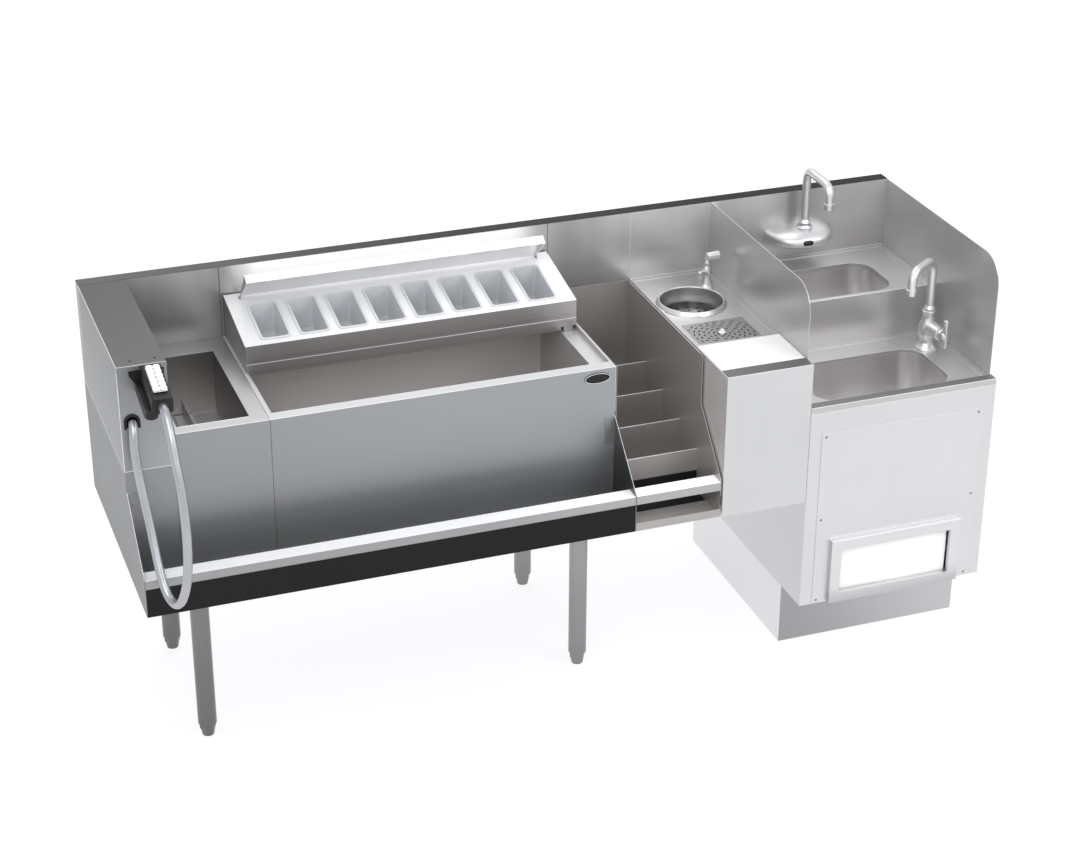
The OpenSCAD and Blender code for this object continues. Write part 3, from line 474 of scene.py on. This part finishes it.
# ---------------------------------------------------------------------------
# Garnish rack: a sheet frame that slides on the bin's runners, a hinged lid that
# stands open, and eight lift-out pans of frosted plastic.
# ---------------------------------------------------------------------------


def plastic(name, colour, rough, speck=0.04, coat=0.0, shine=0.5):
    look = Look(name, Coat_Roughness=0.2, Coat_Weight=coat, Specular_IOR_Level=shine)
    cloud = look.noise(20, detail=3)
    low = [c * (1 - speck) for c in colour]
    high = [c * (1 + speck) for c in colour]
    look.set("Base Color", look.blend(cloud, low, high))
    look.set("Roughness", cloud * 0.1 + (rough - 0.05))
    look.bump(look.noise(1800, detail=2), 0.00004)
    return look


# Painted highlight: the frame's upward faces are matt near-white, and painted light lightens it to the right.
finish_sheet("garnish_rack", steel(
    "steel_rack", grey(0.40, 0.04), grey(0.95), grey(0.42), 0.36, "X",
    [(305, 0.78), (600, 0.9), (1060, 1.0)], white=0.9, matt=0.2), 0.7)
# Painted highlight: the lid's upward faces are matt near-white.
finish_sheet("garnish_lid", steel(
    "steel_lid", grey(0.85), grey(0.97), grey(0.7), 0.36, "X", white=0.85), 0.5)
pan_plastic = plastic("pan_plastic", (0.66, 0.67, 0.69), 0.4, 0.03)
for i in range(1, 9):
    finish_sheet(f"pan_{i}", pan_plastic, 0.6)

# ---------------------------------------------------------------------------
# Bottle steps: four stepped trays between two sheet sides, open at the front of
# each tray only above its low wall.
# ---------------------------------------------------------------------------
# Painted shade: black bands in the lowest bay, on upright faces 450-473 mm up within 140 mm of the front and
# on upward faces 75-111 mm back below 435 mm; the other tones per facing are painted light.
finish_sheet("step_display", steel(
    "steel_steps",
    lambda look: look.blend(look.along("Z", [(449, 0.0), (451, 1.0), (472, 1.0), (474, 0.0)])
                            * look.along("Y", [(138, 1.0), (142, 0.0)]), grey(0.38, 0.06), grey(0.015)),
    lambda look: look.blend(look.along("Y", [(75, 0.0), (78, 1.0), (107, 1.0), (111, 0.0)])
                            * look.along("Z", [(430, 1.0), (440, 0.0)]), grey(0.48, 0.04), grey(0.015)),
    grey(0.40, 0.07), 0.36, "X", matt=0.45), 0.5)
step_lines = []
for i in range(4):
    wall_y, wall_top = 565 - 128 - 101.6 * i + 0.4, 604 - 26 * i
    step_lines.append([(1067.4, wall_y, wall_top), (1263, wall_y, wall_top)])
side_line = [(1264.6, 564, 757.6), (1264.6, 134, 757.6)]
edge_strips("step_edges", [*step_lines, side_line], trim_and_painted_highlight, "station", 0.7)

# ---------------------------------------------------------------------------
# Rinser station: a cabinet, its brightness painted light, with a pressed deck, a dump
# bowl with a raised rim, a drip grate, a push rinser and a white cutting board.
# ---------------------------------------------------------------------------
# Painted light: the cabinet's faces are bright, its ends and top brighter still.
finish_sheet("rinser_cabinet", steel(
    "steel_rinser", grey(0.60), grey(0.9), grey(0.85, 0.04), 0.4, "Z", matt=0.35), 0.6)
# Painted shade: a dark strip along the front 38 mm of the deck's top.
finish_sheet("rinser_deck", steel(
    "steel_deck", grey(0.7, 0.01),
    lambda look: look.blend(look.along("Y", [(36, 0.0), (40, 1.0)]), grey(0.24), grey(0.66, 0.01)),
    grey(0.6), 0.34, "X", matt=0.1), 0.5)
# Painted light and shade: a tone for each way the faces of the bowl ring, strainer and grate turn.
finish_sheet("dump_bowl", steel("steel_bowl_ring", grey(0.75), grey(0.75), grey(0.6), 0.3, "X"), 0.4)
finish_sheet("dump_strainer", steel("steel_strainer", grey(0.2), grey(0.3), grey(0.25), 0.36), 0.3)
finish_sheet("drip_grate", steel("steel_grate", grey(0.3), grey(0.42, 0.01), grey(0.3), 0.34), 0.3)
white_plastic = plastic("white_plastic", (0.90, 0.90, 0.89), 0.35, 0.02, 0.2)
finish_sheet("cutting_board", plastic("board_plastic", (0.95, 0.95, 0.95), 0.5, 0.02), 0.8)
finish_sheet("rinser_spider", white_plastic, 0.3)

# ---------------------------------------------------------------------------
# Two-level sink: a cabinet, its brightness painted light, on a kick base, a deck in
# two levels with a deep-drawn bowl in each, and tailpieces under the bowls.
# ---------------------------------------------------------------------------
# Painted light and shade: tones per facing on the cabinet, panel and kick base; the kick base lightens to the
# right and has bright ends.
finish_sheet("sink_cabinet", steel("steel_sink_front", grey(0.67), grey(0.9), grey(0.62), 0.4, "Z"), 0.6)
finish_sheet("access_panel", steel("steel_panel", grey(0.68), grey(0.8), grey(0.6), 0.4, "Z"), 0.4)
finish_sheet("kick_base", steel("steel_kick", grey(0.42), grey(0.6), grey(0.9), 0.42, "X",
                                [(1473, 0.85), (1930, 1.3)]), 0.4)
# Painted shade: a dark strip along the front 25 mm of the deck's top.
finish_sheet("sink_top", steel(
    "steel_sink_top", grey(0.52, 0.02),
    lambda look: look.blend(look.along("Y", [(23, 0.0), (27, 1.0)]), grey(0.27), grey(0.68, 0.02)),
    grey(0.5), 0.34, "X", matt=0.25), 0.8)
# Painted shade: the bowls' ends are a little darker than their other faces.
bowl_steel = steel("steel_bowl", grey(0.78, 0.02), grey(0.78, 0.02), grey(0.75, 0.02), 0.34, "X")
for node in ("upper_bowl", "lower_bowl"):
    finish_sheet(node, bowl_steel, 1.4)
finish_sheet("drains", bowl_steel, 0.4)
edge_strips("deck_edges", [
    [(1474, 303.4, 758), (1929, 303.4, 758)], [(1474, 0.4, 651), (1929, 0.4, 651)],
    [(1270.4, 0.4, 758), (1472, 0.4, 758)], [(1270, 0.6, 758), (1270, 560, 758)]], trim_and_painted_highlight, "station", 0.6)
# Painted shade: the towel box darkens towards its bottom.
finish_sheet("towel_box", steel("steel_towel", grey(0.7), grey(0.85), grey(0.6), 0.36, "X", (),
                                [(150, 0.72), (200, 1.0)]), 0.7)
paper = plastic("paper", (0.95, 0.95, 0.94), 0.8, 0.02)
finish_sheet("towel_roll", paper, 0.3)
PAPER_COLUMNS = 51
PAPER_ROWS = ((172, 1.4), (190, 1.6), (215, 1.5), (240, 1.5), (262, 1.7), (278, 2.2))
paper_points = [mm(x, y + 0.9 * math.sin(x / 41) + thick, z)
                for thick in (0, 0.5) for z, y in PAPER_ROWS
                for x in (1566 + 5.48 * k for k in range(PAPER_COLUMNS))]
far_side = len(PAPER_ROWS) * PAPER_COLUMNS


def paper_faces():
    """Quads of the front and the back of the paper, and of its four edges."""
    rows, columns = len(PAPER_ROWS), PAPER_COLUMNS
    for start in (0, far_side):
        for i in range(rows - 1):
            for k in range(columns - 1):
                a = start + i * columns + k
                yield a, a + 1, a + columns + 1, a + columns
    for i in (0, rows - 1):
        for k in range(columns - 1):
            a = i * columns + k
            yield a, a + 1, a + 1 + far_side, a + far_side
    for k in (0, columns - 1):
        for i in range(rows - 1):
            a = i * columns + k
            yield a, a + columns, a + columns + far_side, a + far_side


shape("paper_sheet", paper_points, list(paper_faces()), paper, "station", "paper")

# ---------------------------------------------------------------------------
# Soda gun: a black moulded body with twelve white keys, clipped in a black
# holster under the housing's lip, and the rubber edging of the hose opening.
# ---------------------------------------------------------------------------
black_plastic = plastic("black_plastic", (0.010, 0.010, 0.011), 0.42, 0.2, 0.0, 0.3)
finish_sheet("hose_grommet", black_plastic, 1.0)
finish_sheet("holster", black_plastic, 1.0)
finish_sheet("gun_body", black_plastic, 1.6)
gun_lean = math.radians(12.5)
gun_along = Vector((0, math.cos(gun_lean), math.sin(gun_lean)))
gun_up = Vector((0, -math.sin(gun_lean), math.cos(gun_lean)))
gun_head = mm(67.5, 119.908, 925.5)


def gun_loop(x, y, z, wide, long, corner):
    """A rounded rectangle across the top of the gun, from its middle, in mm."""
    loop = []
    for k in range(32):
        a = 2 * math.pi * (k + 0.5) / 32
        c, d = math.cos(a), math.sin(a)
        dx = math.copysign(wide / 2 - corner, c) + corner * c
        dy = math.copysign(long / 2 - corner, d) + corner * d
        loop.append(gun_head + Vector((x + dx, 0, 0)) / 1000
                    + gun_along * (y + dy) / 1000 + gun_up * z / 1000)
    return loop


KEY_WIDE, KEY_LONG, KEY_CORNER = 13.8, 13.4, 4.6
KEY_PITCH = 14
KEY_DOME = ((3.9, 0.4), (4.3, 0), (6.2, 0), (6.9, 0.8), (7.3, 2.6), (7.5, 5.5))
plate_loops = [gun_loop(1, -49.5, z, 28.6, 83.6, 3) for z in (1.9, 2.25)]
shape("key_plate", *skin(plate_loops), white_plastic, "gun", "white_plastic")
for i in range(1, 13):
    x, y = (8.2 if i % 2 == 0 else -6.2), -14.5 - KEY_PITCH * ((i - 1) // 2)
    key_loops = [gun_loop(x, y, z, KEY_WIDE - inset, KEY_LONG - inset, KEY_CORNER - inset / 2)
                 for z, inset in KEY_DOME]
    shape(f"key_cap_{i}", *skin(key_loops), white_plastic, f"key_{i}", "white_plastic", [f"key_{i}"], 60)

# ---------------------------------------------------------------------------
# Faucets: satin chrome. A sensor faucet on the backsplash, a lever faucet on the
# lower deck, each with a swan-neck spout, and a small filler by the dump bowl.
# ---------------------------------------------------------------------------
# Painted light: the chrome's upward faces are a little lighter, its ends a little darker.
chrome = steel("satin_chrome", grey(0.74), grey(0.8), grey(0.7), 0.36, "Z", matt=0.1)


def lathe(name, centre, way, profile, look, body, slot, stands_for=(), sides=48):
    """A turned piece: (radius, height) pairs in mm along an axis from its centre."""
    path_way = Vector(way).normalized()
    across = path_way.orthogonal().normalized()
    other = path_way.cross(across)
    loops = [[centre + path_way * (h / 1000) + (across * math.cos(a) + other * math.sin(a)) * (r / 1000)
              for a in (2 * math.pi * k / sides for k in range(sides))] for r, h in profile]
    return shape(name, *skin(loops), look, body, slot, stands_for, 38)


def swan_neck(name, foot, rise, reach, drop, bend, turn, body, node):
    """A bent tube from its foot, up, over and down, with a ring and a tip."""
    over = Vector((-math.sin(math.radians(turn)), -math.cos(math.radians(turn)), 0))
    up = Vector((0, 0, 1))
    line = [foot, foot + up * (rise - bend) / 1000]
    middle = line[-1] + over * bend / 1000
    line += [middle + (up * math.sin(a) - over * math.cos(a)) * bend / 1000
             for a in (math.pi / 2 * k / 12 for k in range(1, 13))]
    line.append(line[-1] + over * (reach - 2 * bend) / 1000)
    middle = line[-1] - up * bend / 1000
    line += [middle + (up * math.cos(a) + over * math.sin(a)) * bend / 1000
             for a in (math.pi / 2 * k / 12 for k in range(1, 13))]
    line.append(line[-1] - up * drop / 1000)
    shape(name, *skin(sweep(line, TUBE_RADIUS, 40, over.cross(up))), chrome, body, "chrome", [node], 40)
    tip = line[-1] - up * 0.012
    lathe(name + "_tip", tip, (0, 0, 1),
          [(9, 0), (10.6, 1), (10.8, 12.5), (12.2, 13.2), (12.2, 15.2), (10.2, 16)],
          chrome, body, "chrome")
    lathe(name + "_foot", foot, (0, 0, 1),
          [(12.5, 0), (13.6, 0.8), (13.6, 3.6), (12.6, 4.6), (11.6, 9), (10.1, 11)],
          chrome, body, "chrome")


TUBE_RADIUS = 0.010
WALL_SPOUT = mm(1695.5, 525, 856.4)
LEVER = mm(1868.4, 214, 643.8)
swan_neck("wall_spout_tube", WALL_SPOUT, 133, 117, 20, 24, 0, "wall_spout", "wall_spout")
LEVER_SPOUT = LEVER + Vector((0, 0, 0.0964))
swan_neck("lever_spout_tube", LEVER_SPOUT, 124, 102, 14, 28, 55, "lever_spout", "lever_spout")



def bent(value, power):
    """A cosine or sine with its curve squared up."""
    return math.copysign(abs(value) ** power, value)


dome_loops = []
for k in range(17):
    depth = k / 16 * math.pi / 2
    wide = max(math.cos(depth), 0.02) ** 0.72
    y = 565 - 84 * math.sin(depth)
    dome_loops.append([
        mm(1694 + 83 * wide * bent(math.cos(a), 0.8), y,
           819 + (29 if math.sin(a) > 0 else 21) * wide * bent(math.sin(a), 0.85))
        for a in (2 * math.pi * n / 72 for n in range(72))])
shape("wall_faucet_dome", *skin(dome_loops), chrome, "station", "chrome", ["wall_faucet"], 60)
lathe("wall_faucet_collar", mm(1695.5, 525, 826), (0, 0, 1),
      [(24, 0), (21, 8), (18.5, 14), (17.6, 18), (19, 19), (19, 22.5), (17, 24), (14.5, 28), (14.5, 30)],
      chrome, "station", "chrome")
window_glass = plastic("window_glass", (0.01, 0.01, 0.012), 0.15, 0.1, 0.5)
window_loops = [[mm(1687 + 12.5 * s * bent(math.cos(a), 0.6), 484 - d, 823 + 6 * s * bent(math.sin(a), 0.6))
                 for a in (2 * math.pi * n / 32 for n in range(32))]
                for s, d in ((1.0, -16), (1.0, 4), (0.94, 5.2), (0.3, 5.6))]
shape("sensor_window", *skin(window_loops), window_glass, "station", "black_plastic")

lathe("lever_faucet_body", LEVER, (0, 0, 1),
      [(29, 0), (29, 3), (27, 6), (20, 13), (17, 20), (18, 27), (22, 36), (23, 48), (21, 60), (17, 70),
       (15, 76), (14.6, 88), (16, 90), (16, 94), (14, 96)], chrome, "station", "chrome", ["lever_faucet"])
stub_way = Vector((math.sin(math.radians(8)), -math.cos(math.radians(8)), 0))
stub_start = LEVER + Vector((0, 0, 0.053))
lathe("lever_faucet_barrel", stub_start, stub_way,
      [(19, 0), (18.5, 14), (16.5, 30), (14.5, 40), (14.5, 43), (15.8, 44), (15.8, 49),
       (13, 50), (12.5, 57)],
      chrome, "station", "chrome")
lathe("lever_hub", stub_start + stub_way * 0.0584, stub_way,
      [(9, 0), (9.5, 2), (9.5, 9), (8, 11), (4, 12.5)], chrome, "lever_handle", "chrome", ["lever_handle"])
grip = stub_start + stub_way * 0.0664
lathe("lever_grip", grip - Vector((0, 0, 0.028)), (0, 0, 1),
      [(3, 0), (5.6, 1.5), (6, 10), (5.2, 28), (5.2, 45), (6.2, 62), (5.8, 67.5), (3, 69)],
      chrome, "lever_handle", "chrome")
FILLER = mm(1421, 464, 756)
filler_way = Vector((-math.cos(math.radians(25)), -math.sin(math.radians(25)), 0))
lathe("filler_body", FILLER, (0, 0, 1),
      [(18, 0), (18, 3), (15.5, 5), (13, 15), (10.5, 25), (9.6, 31), (11.5, 34), (11.5, 47),
       (9.5, 51), (8, 57.6)],
      chrome, "station", "chrome", ["filler_faucet"])
lathe("filler_arm", FILLER + Vector((0, 0, 0.042)), filler_way,
      [(5.2, 0), (5.2, 16), (5.6, 18), (5.6, 26), (4, 28)], chrome, "station", "chrome")
lathe("filler_tip", FILLER + Vector((0, 0, 0.022)) + filler_way * 0.0235, (0, 0, 1),
      [(3.4, 0), (4.6, 0.5), (4.6, 14), (4, 16), (4, 21)], chrome, "station", "chrome")
lathe("filler_neck", FILLER + Vector((0, 0, 0.0584)), (0, 0, 1),
      [(7.5, 0), (8, 1), (8, 6), (6, 9), (6, 16)], chrome, "filler_lever", "chrome", ["filler_lever"])
lathe("filler_cup", FILLER + Vector((-0.003, 0, 0.0775)), (1, 0, 0),
      [(7, 0), (9, 1.5), (9.5, 14), (10.5, 31), (9, 33), (6, 33.5)], chrome, "filler_lever", "chrome")

# ---------------------------------------------------------------------------
# Fixings: pan-head screws in the panels and the housing, placed by a Geometry
# Nodes group on a list of points and then made plain, and the blank oval badge.
# ---------------------------------------------------------------------------


def heads(name, points, facing, radius, proud, look, body):
    """Round heads on points, each lying in a surface that faces the given way."""
    group = bpy.data.node_groups.new(name, "GeometryNodeTree")
    for label, kind, way in (
        ("Points", "NodeSocketGeometry", "INPUT"),
        ("Head Radius", "NodeSocketFloat", "INPUT"),
        ("Head Height", "NodeSocketFloat", "INPUT"),
        ("Seed", "NodeSocketInt", "INPUT"),
        ("Heads", "NodeSocketGeometry", "OUTPUT"),
    ):
        group.interface.new_socket(name=label, in_out=way, socket_type=kind)
    add = group.nodes.new
    start, end = add("NodeGroupInput"), add("NodeGroupOutput")
    dome = add("GeometryNodeMeshUVSphere")
    dome.inputs["Segments"].default_value = 24
    dome.inputs["Rings"].default_value = 12
    flat = add("ShaderNodeCombineXYZ")
    spread = add("GeometryNodeInstanceOnPoints")
    turn = add("FunctionNodeRandomValue")
    spin = add("ShaderNodeCombineXYZ")
    swing = add("GeometryNodeRotateInstances")
    real = add("GeometryNodeRealizeInstances")
    paint = add("GeometryNodeSetMaterial")
    paint.inputs["Material"].default_value = look.material
    turn.inputs["Max"].default_value = 6.283
    link = group.links.new
    link(start.outputs["Points"], spread.inputs["Points"])
    link(dome.outputs["Mesh"], spread.inputs["Instance"])
    link(start.outputs["Head Radius"], flat.inputs["X"])
    link(start.outputs["Head Radius"], flat.inputs["Y"])
    link(start.outputs["Head Height"], flat.inputs["Z"])
    link(flat.outputs[0], spread.inputs["Scale"])
    link(start.outputs["Seed"], turn.inputs["Seed"])
    link(turn.outputs[1], spin.inputs["Z"])
    link(spread.outputs[0], swing.inputs["Instances"])
    link(spin.outputs[0], swing.inputs["Rotation"])
    tilt = Vector(facing).to_track_quat("Z", "Y").to_euler()
    spread.inputs["Rotation"].default_value = tilt
    link(swing.outputs[0], real.inputs[0])
    link(real.outputs[0], paint.inputs[0])
    link(paint.outputs[0], end.inputs[0])
    base = bpy.data.meshes.new(name + "_points")
    base.from_pydata([tuple(p) for p in points], [], [])
    maker = bpy.data.objects.new(name + "_maker", base)
    scene.collection.objects.link(maker)
    modifier = maker.modifiers.new("heads", "NODES")
    modifier.node_group = group
    values = {"Head Radius": radius / 1000, "Head Height": proud / 1000, "Seed": 7}
    for item in group.interface.items_tree:
        if item.item_type == "SOCKET" and item.in_out == "INPUT" and item.name in values:
            modifier[item.identifier] = values[item.name]
    bpy.context.view_layer.update()
    ready = maker.evaluated_get(bpy.context.evaluated_depsgraph_get())
    mesh = bpy.data.meshes.new_from_object(ready)
    bpy.data.objects.remove(maker)
    mesh.name = name
    for face in mesh.polygons:
        face.use_smooth = True
    piece = bpy.data.objects.new(name, mesh)
    scene.collection.objects.link(piece)
    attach(piece, body)
    return piece


screw = steel("screw_steel", grey(0.3), grey(0.3), grey(0.3), 0.35)
dark_screw = plastic("dark_screw", (0.03, 0.03, 0.03), 0.5)
heads("housing_screws", [mm(33, 157, 923), mm(83, 157, 923)], (0, 0, 1), 3.4, 1.2, dark_screw, "station")
heads("panel_screws", [mm(x, -1.2, z) for x in (1513.5, 1892) for z in (575, 367, 159.5)],
      (0, -1, 0), 3.2, 1.2, screw, "station")
heads("tab_screws", [mm(1057.6, 131.2, 614), mm(12, 131.2, 614)], (0, -1, 0), 3, 1.1, screw, "station")

badge = []
for rise, shrink in ((0.0, 1.0), (1.4, 1.0), (2.0, 0.95), (2.0, 0.3)):
    badge.append([mm(1024 + 30 * shrink * math.cos(a), 132.7 - rise, 737 + 12.5 * shrink * math.sin(a))
                  for a in (2 * math.pi * k / 48 for k in range(48))])
shape("blank_badge", *skin(badge), black_plastic, "station", "black_plastic")
rim_line = [mm(1024 + 28.5 * math.cos(a), 130.6, 737 + 11.2 * math.sin(a))
            for a in (2 * math.pi * k / 64 for k in range(65))]
shape("badge_ring", *skin(sweep(rim_line, 0.0006, 8, Vector((0, 1, 0)))), trim_and_painted_highlight,
      "station", "stainless")
